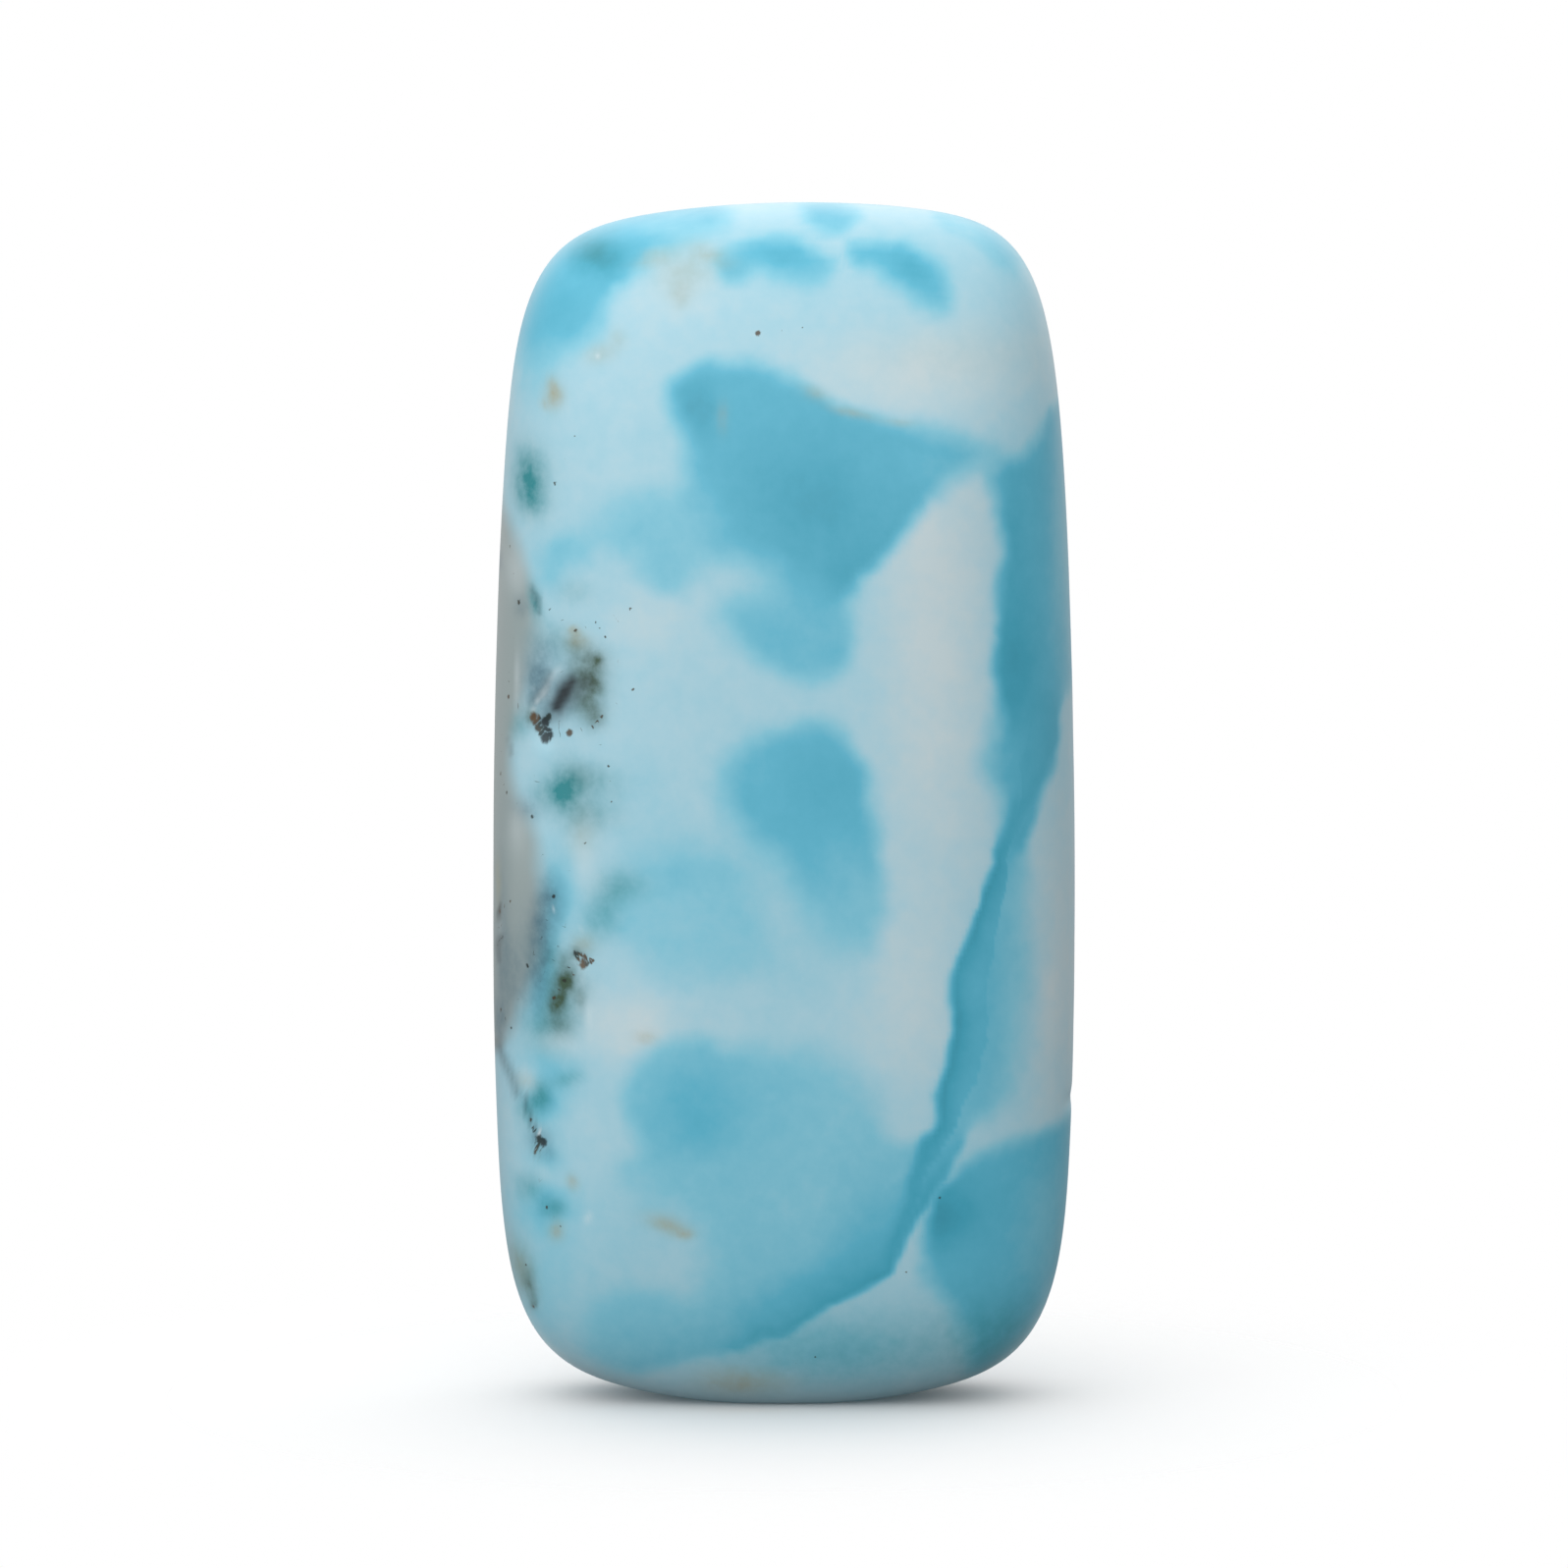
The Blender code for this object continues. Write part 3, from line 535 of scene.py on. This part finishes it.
def round_blue(points):
    """How blue the unseen sides are: round cells in the stone, which leave white seams where two meet.

    A cell's reach is its radius less the distance from its middle. The cover follows the greatest reach,
    and its lead over the second greatest, whichever is less.
    """
    drift = np.column_stack([smooth_noise(points, 3.5, seed) for seed in (21, 22, 23)])
    ripple = np.column_stack([smooth_noise(points, 1.1, seed) for seed in (24, 25, 26)])
    moved = points + 0.8 * drift + 0.25 * ripple
    first, second = np.full(len(points), -9.0), np.full(len(points), -9.0)
    depth = np.zeros(len(points))
    for *middle, radius, own_depth in ROUND_CELLS:
        reach = radius - np.linalg.norm(moved - np.array(middle), axis=1)
        second = np.maximum(second, np.minimum(first, reach))
        depth = np.where(reach > first, own_depth + 0.10 * reach / radius, depth)
        first = np.maximum(first, reach)
    cover = smooth_step(np.minimum(first, 0.7 * (first - second) - 0.25), -0.7, 0.8)
    faint = 0.14 + 0.10 * smooth_noise(points, 4.0, 27)
    return faint + cover * (depth - faint)


def stone_fields(points):
    """Every amount that the material paints with, for each point: front marks where y is low, and the
    marks in the round elsewhere, with a ragged change between them past the edge."""
    ragged = 0.5 * smooth_noise(points, 1.5, 31)
    front = smooth_step(points[:, 1] + ragged, *FRONT_FADE)
    wander_x = 0.16 * smooth_noise(points, 0.9, 1) + 0.06 * smooth_noise(points, 0.35, 2)
    wander_z = 0.16 * smooth_noise(points, 0.9, 3) + 0.06 * smooth_noise(points, 0.35, 4)
    x, z = points[:, 0] + wander_x, points[:, 2] + wander_z
    near_x, near_z = points[:, 0] + 0.4 * wander_x, points[:, 2] + 0.4 * wander_z
    mottle = 0.5 * smooth_noise(points, 0.9, 5) + 0.5 * smooth_noise(points, 0.4, 6)

    blue = front * front_blue(x, z) + (1 - front) * round_blue(points)
    fields = {"blue": blue + CLOUDING * mottle * (1 - 0.6 * np.clip(blue, 0, 1))}
    matrix = smooth_step(ring_depth(MATRIX, near_x, near_z)[0], -EDGE_REACH, EDGE_REACH)
    around = smooth_step(clouds(ROUND_MATRIX, points + 0.5 * ragged[:, None]), 0.42, 0.58)
    fields["matrix"] = front * matrix + (1 - front) * around
    # Stain amounts; the teal's includes painted shade low on the front near the foot.
    for name, flat, all_round in STAINS_AND_FOOT_SHADE:
        fields[name] = front * blobs(flat, near_x, near_z) + (1 - front) * clouds(all_round, points)
    fields["dark"] = front * strokes(DARK, near_x, near_z)
    return fields


def speck_fields(points):
    """For each point the way back to its nearest speck, that speck's half width and its tone.

    A front speck lies on the skin at its own x and z. The rest are seeded at random on the other sides.
    """
    chance = np.random.default_rng(41)
    skin, sides = points[points[:, 1] < FRONT_SKIN], points[points[:, 1] > FRONT_SKIN]
    scattered = sides[chance.integers(0, len(sides), SCATTERED_SPECKS)]
    marks = []
    for x0, z0, half_width, shade in SPECKS:
        y0 = skin[np.argmin(np.hypot(skin[:, 0] - x0, skin[:, 2] - z0)), 1]
        marks.append(((x0, y0, z0), half_width, shade))
    for middle in scattered:
        half_width = chance.uniform(*SCATTERED_HALF_WIDTHS)
        marks.append((middle, half_width, chance.uniform(*SCATTERED_TONES)))
    nearest = np.full(len(points), 1e9)
    way, size, tone = np.zeros((len(points), 3)), np.zeros(len(points)), np.zeros(len(points))
    for middle, own_size, own_tone in marks:
        back = points - np.array(middle)
        away = np.linalg.norm(back, axis=1) - own_size
        closer = away < nearest
        nearest = np.where(closer, away, nearest)
        way = np.where(closer[:, None], back, way)
        size, tone = np.where(closer, own_size, size), np.where(closer, own_tone, tone)
    return way, size, tone


def lattice():
    """The skin of a block of CELLS cells as (whole-number corners, four-cornered faces that look outwards).

    Each of the six sides is a grid of corners. Corners that two sides share are made one by their number.
    """
    counts = np.array(CELLS)
    corners, faces, start = [], [], 0
    for axis in range(3):
        first, second = (axis + 1) % 3, (axis + 2) % 3
        rows, columns = counts[first] + 1, counts[second] + 1
        row, column = np.meshgrid(np.arange(rows), np.arange(columns), indexing="ij")
        number = start + row * columns + column
        for end in (0, counts[axis]):
            side = np.zeros((rows, columns, 3), int)
            side[..., axis] = end
            side[..., first] = row
            side[..., second] = column
            corners.append(side.reshape(-1, 3))
            ring = (number[:-1, :-1], number[1:, :-1], number[1:, 1:], number[:-1, 1:])
            quads = np.stack(ring if end else ring[::-1], axis=-1).reshape(-1, 4)
            faces.append(quads + len(number.ravel()) * (end > 0))
        start += 2 * rows * columns
    corners = np.concatenate(corners)
    corners, merged = np.unique(corners, axis=0, return_inverse=True)
    return corners, merged.ravel()[np.concatenate(faces)]


def on_stone(corners):
    """The polished surface: a cube's corners rounded onto a box of two exponents, then bulged face by face.

    size = ((|across|^8 + |up|^8)^(4/8) + |deep|^4)^(1/4) divides the cube's point onto the rounded box.
    Each face then falls away from its middle with the squares of the two shares across it.
    """
    share = 2 * corners / np.array(CELLS) - 1
    share = (1 - CROWDING) * share + CROWDING * np.sin(share * math.pi / 2)
    across, deep, up = share.T
    outline = (np.abs(across) ** OUTLINE_EXPONENT + np.abs(up) ** OUTLINE_EXPONENT) ** (
        EDGE_EXPONENT / OUTLINE_EXPONENT
    )
    size = (outline + np.abs(deep) ** EDGE_EXPONENT) ** (1 / EDGE_EXPONENT)
    across, deep, up = across / size, deep / size, up / size

    half_width = WIDTH / 2 - SIDE_TAPER * up
    half_width = half_width - SIDE_FALL_TO_ENDS * up**2 - SIDE_FALL_TO_FACES * deep**2
    front = deep < 0
    half_depth = np.where(front, FRONT_DEPTH, BACK_DEPTH)
    to_sides = np.where(front, FRONT_FALL_TO_SIDES, BACK_FALL_TO_SIDES)
    to_ends = np.where(front, FRONT_FALL_TO_ENDS, BACK_FALL_TO_ENDS)
    y = (half_depth - to_sides * across**2 - to_ends * up**2) * deep + (FRONT_DEPTH - BACK_DEPTH) / 2
    top_fall = TOP_FALL_TO_SIDES * across**2 + TOP_FALL_TO_FACES * deep**2
    foot_fall = FOOT_FALL_TO_SIDES * across**2 + FOOT_FALL_TO_FACES * deep**2
    rise = np.where(up > 0, TOP_RISE_TO_RIGHT * across - top_fall, foot_fall) * up**2
    z = (HEIGHT + FOOT_GRIND) / 2 * up + rise + (HEIGHT - FOOT_GRIND) / 2
    return np.column_stack([half_width * across, y, np.maximum(z, 0)])


def fitted_to_solid(points):
    """The points moved by under a facet's rise, so that they fill the solid's own box exactly."""
    low, high = (np.array(corner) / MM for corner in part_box("larimar_stone"))
    own_low, own_high = points.min(axis=0), points.max(axis=0)
    return low + (points - own_low) * (high - low) / (own_high - own_low)


def mesh_object(name, points, faces):
    """A smooth-shaded mesh object from arrays of points in millimetres and four-cornered faces."""
    data = bpy.data.meshes.new(name)
    data.from_pydata((points * MM).tolist(), [], faces.tolist())
    data.shade_smooth()
    made = bpy.data.objects.new(name, data)
    bpy.context.scene.collection.objects.link(made)
    return made


def linear(hex_colour):
    """The linear red, green and blue of an sRGB hex colour, with alpha 1."""
    shares = [int(hex_colour[i : i + 2], 16) / 255 for i in (1, 3, 5)]
    bent = [c / 12.92 if c <= 0.04045 else ((c + 0.055) / 1.055) ** 2.4 for c in shares]
    return (*bent, 1.0)


def store(stone, name, values):
    """Keeps one number, or one vector, for every corner of the mesh under this name."""
    kind = "FLOAT" if values.ndim == 1 else "FLOAT_VECTOR"
    field = stone.data.attributes.new(name, kind, "POINT")
    field.data.foreach_set("value" if values.ndim == 1 else "vector", values.astype(np.float32).ravel())


def relief(points):
    """How far the skin lies under the solid's, in millimetres: slow waves left by hand grinding, and
    round-bottomed pits, each depth * exp(-(distance / half width)^2)."""
    sunk = sum(depth * (1 + smooth_noise(points, size, seed)) for depth, size, seed in GRINDING_WAVES)
    front = points[:, 1] < FRONT_SKIN
    for x0, z0, half_width, depth in PITS:
        away = np.hypot(points[:, 0] - x0, points[:, 2] - z0) / half_width
        sunk += depth * np.exp(-(away**2)) * front
    return sunk


def outward_ways(points, faces):
    """The unit outward way at each corner: the summed cross products of the faces that meet there."""
    a, b, c, d = (points[faces[:, i]] for i in range(4))
    normal = np.cross(c - a, d - b)
    total = np.zeros_like(points)
    for i in range(4):
        np.add.at(total, faces[:, i], normal)
    return total / np.linalg.norm(total, axis=1)[:, None]


def stone():
    """The visible stone: the solid's shape on a fine mesh, with its relief, its pattern and its material."""
    corners, faces = lattice()
    smooth = on_stone(corners)
    sunk = relief(smooth) * smooth_step(smooth[:, 2], 0, LEVEL_FOOT)
    points = fitted_to_solid(smooth - outward_ways(smooth, faces) * sunk[:, None])
    made = mesh_object("larimar", points, faces)
    for name, values in stone_fields(points).items():
        store(made, name, values)
    way, size, tone = speck_fields(points)
    store(made, "speck_way", way * MM)
    store(made, "speck_size", size * MM)
    store(made, "speck_tone", tone)
    made.data.materials.append(larimar())
    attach(made, "root")
    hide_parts("larimar_stone")


def add(tree, kind, inputs=None, **settings):
    """Adds a shader node. An input is a value, an output, or a node, whose first output is joined."""
    made = tree.nodes.new("ShaderNode" + kind)
    for name, value in settings.items():
        setattr(made, name, value)
    for place, value in (inputs or {}).items():
        if isinstance(value, bpy.types.Node):
            value = value.outputs[0]
        if isinstance(value, bpy.types.NodeSocket):
            tree.links.new(value, made.inputs[place])
        else:
            made.inputs[place].default_value = value
    return made


def field(tree, name):
    """The output that gives a number kept on the mesh."""
    return add(tree, "Attribute", attribute_name=name).outputs["Fac"]


def laid_over(tree, share, colour, under):
    """The output of a colour laid over another by a share that is kept between 0 and 1."""
    mix = add(tree, "Mix", {0: share, 6: under, 7: colour}, data_type="RGBA", clamp_factor=True)
    return mix.outputs[2]


def grain(tree, size, detail):
    """Noise between 0 and 1 in the stone's own place, in features of this size in millimetres."""
    place = add(tree, "TexCoord").outputs["Object"]
    inputs = {"Vector": place, "Scale": 1 / (size * MM), "Detail": detail, "Roughness": 0.6}
    return add(tree, "TexNoise", inputs)


def ramp(tree, amount, colours):
    """The output of a colour that runs through these places and hex colours as the amount grows."""
    made = add(tree, "ValToRGB", {0: amount})
    stops = made.color_ramp.elements
    for place, _ in colours[1:-1]:
        stops.new(place)
    for stop, (place, colour) in zip(stops, colours):
        stop.position = place
        stop.color = linear(colour)
    return made.outputs[0]


def speckled(tree, under):
    """Black, olive and rust specks, each where the way back to it is shorter than its half width."""
    way = add(tree, "Attribute", attribute_name="speck_way").outputs["Vector"]
    ragged = add(tree, "VectorMath", {0: grain(tree, 0.12, 1.0).outputs["Color"], 1: (0.5, 0.5, 0.5)},
                 operation="SUBTRACT")
    moved = add(tree, "VectorMath", {0: ragged, 1: (SPECK_RAGGEDNESS * MM,) * 3, 2: way}, operation="MULTIPLY_ADD")
    away = add(tree, "VectorMath", {0: moved}, operation="LENGTH").outputs["Value"]
    ratio = add(tree, "Math", {0: away, 1: field(tree, "speck_size")}, operation="DIVIDE")
    start, full = SPECK_EDGE
    limits = {"Value": ratio, "From Min": start, "From Max": full, "To Max": SPECK_STRENGTH}
    share = add(tree, "MapRange", limits, interpolation_type="SMOOTHSTEP")
    tone = ramp(tree, field(tree, "speck_tone"), SPECK_TONES)
    return laid_over(tree, share, tone, under)


def larimar():
    """Larimar: blue and white pectolite, sawn, ground round and polished to a satin.

    Its fine felted fibres scatter light softly under a waxy skin, so the colours are cloudy and the gloss
    is broad. Grey matrix, teal and olive stains and small dark specks lie in it. Teal laid wide and low near the
    foot is painted shade.
    """
    material = bpy.data.materials.new("polished_larimar")
    material.use_nodes = True
    tree = material.node_tree
    coarse = grain(tree, 0.45, 3.0).outputs["Fac"]
    fine = grain(tree, 0.12, 2.0).outputs["Fac"]

    cloud = add(tree, "Math", {0: coarse, 1: COARSE_CLOUD, 2: -COARSE_CLOUD / 2}, operation="MULTIPLY_ADD")
    cloud = add(tree, "Math", {0: fine, 1: FINE_CLOUD, 2: cloud}, operation="MULTIPLY_ADD")
    blue = add(tree, "Math", {0: field(tree, "blue"), 1: cloud}, operation="ADD")
    colour = ramp(tree, blue, BLUES)
    colour = laid_over(tree, field(tree, "matrix"), linear(MATRIX_GREY), colour)
    uneven = add(tree, "Math", {0: coarse, 1: 1.2, 2: 0.4}, operation="MULTIPLY_ADD")
    # Stains laid over the blue; the teal also lays painted shade low on the front near the foot.
    for name, code in STAIN_AND_SHADE_COLOURS:
        share = add(tree, "Math", {0: field(tree, name), 1: uneven}, operation="MULTIPLY")
        colour = laid_over(tree, share, linear(code), colour)
    colour = laid_over(tree, field(tree, "dark"), linear(DARK_GREEN), colour)
    colour = laid_over(tree, field(tree, "pale"), linear(PALE_FIBRE), colour)
    colour = speckled(tree, colour)

    bump = {"Strength": RIPPLE_STRENGTH, "Distance": RIPPLE_HEIGHT * MM, "Height": grain(tree, 0.3, 4.0)}
    ripple = add(tree, "Bump", bump)
    shader = tree.nodes["Principled BSDF"]
    tree.links.new(colour, shader.inputs["Base Color"])
    tree.links.new(ripple.outputs[0], shader.inputs["Normal"])
    shader.inputs["Roughness"].default_value = POLISH_ROUGHNESS
    shader.inputs["IOR"].default_value = PECTOLITE_IOR
    shader.inputs["Specular IOR Level"].default_value = POLISH_SPECULAR
    return material


def pale_floor():
    """A round white card to stand on, which fades out before its edge so that no horizon is seen."""
    angles = np.linspace(0, 2 * math.pi, FLOOR_CORNERS, endpoint=False)
    ring = np.column_stack([np.cos(angles), np.sin(angles), 0 * angles]) * FLOOR_RADIUS * MM
    data = bpy.data.meshes.new("floor")
    data.from_pydata(ring.tolist(), [], [list(range(FLOOR_CORNERS))])
    floor = bpy.data.objects.new("floor", data)
    bpy.context.scene.collection.objects.link(floor)
    material = bpy.data.materials.new("matt_white_card")
    material.use_nodes = True
    tree = material.node_tree
    card = tree.nodes["Principled BSDF"]
    card.inputs["Base Color"].default_value = (CARD_WHITE, CARD_WHITE, CARD_WHITE, 1)
    card.inputs["Roughness"].default_value = 0.9
    card.inputs["Specular IOR Level"].default_value = 0.1
    place = add(tree, "TexCoord").outputs["Object"]
    far = add(tree, "VectorMath", {0: place}, operation="LENGTH").outputs["Value"]
    start, gone = FLOOR_FADE
    limits = {"Value": far, "From Min": start * MM, "From Max": gone * MM}
    fade = add(tree, "MapRange", limits, interpolation_type="SMOOTHSTEP")
    mix = add(tree, "MixShader", {0: fade, 1: card, 2: add(tree, "BsdfTransparent")})
    tree.links.new(mix.outputs[0], tree.nodes["Material Output"].inputs["Surface"])
    data.materials.append(material)
    # The card sends no light back up to the stone.
    floor.visible_diffuse = False


def studio():
    """White surroundings, brighter towards two soft lights, that the camera sees as plain white.

    Brightness = SURROUNDINGS + the sum over the lights of strength * max(0, direction . way) ^ spread,
    all dimmed to the share BELOW under the horizon.
    """
    world = bpy.data.worlds.new("white_studio")
    bpy.context.scene.world = world
    world.use_nodes = True
    tree = world.node_tree
    direction = add(tree, "TexCoord").outputs["Generated"]
    total = SURROUNDINGS
    for way, spread, strength in (FRONT_LIGHT, TOP_LIGHT):
        toward = add(tree, "VectorMath", {0: direction, 1: way}, operation="DOT_PRODUCT").outputs["Value"]
        facing = add(tree, "Math", {0: toward, 1: 0.0}, operation="MAXIMUM")
        bent = add(tree, "Math", {0: facing, 1: spread}, operation="POWER")
        total = add(tree, "Math", {0: bent, 1: strength, 2: total}, operation="MULTIPLY_ADD")
    height = add(tree, "SeparateXYZ", {0: direction}).outputs["Z"]
    low, high = HORIZON
    limits = {"Value": height, "From Min": low, "From Max": high, "To Min": BELOW}
    dimmed = add(tree, "MapRange", limits, interpolation_type="SMOOTHSTEP")
    strength = add(tree, "Math", {0: total, 1: dimmed}, operation="MULTIPLY")
    light = add(tree, "Background", {"Strength": strength})
    light.inputs["Color"].default_value = (1, 1, 1, 1)
    seen = tree.nodes["Background"]
    seen.inputs["Color"].default_value = (1, 1, 1, 1)
    by_camera = add(tree, "LightPath").outputs["Is Camera Ray"]
    choice = add(tree, "MixShader", {0: by_camera, 1: light, 2: seen})
    tree.links.new(choice.outputs[0], tree.nodes["World Output"].inputs["Surface"])


def camera():
    """A long lens at the photograph's angle, a little above level and centred on the stone."""
    data = bpy.data.cameras.new("camera")
    data.lens = LENS
    data.sensor_width = SENSOR
    data.clip_start = 0.01
    data.clip_end = 20
    made = bpy.data.objects.new("camera", data)
    bpy.context.scene.collection.objects.link(made)
    angle = math.radians(CAMERA_RISE)
    distance = FRAME_WIDTH / SENSOR * LENS
    way = Vector((0, -math.cos(angle), math.sin(angle)))
    made.location = (Vector(AIM) + way * distance) * MM
    made.rotation_euler = way.to_track_quat("Z", "Y").to_euler()
    bpy.context.scene.camera = made


stone()
pale_floor()
studio()
camera()
bpy.context.scene.view_settings.view_transform = "Standard"
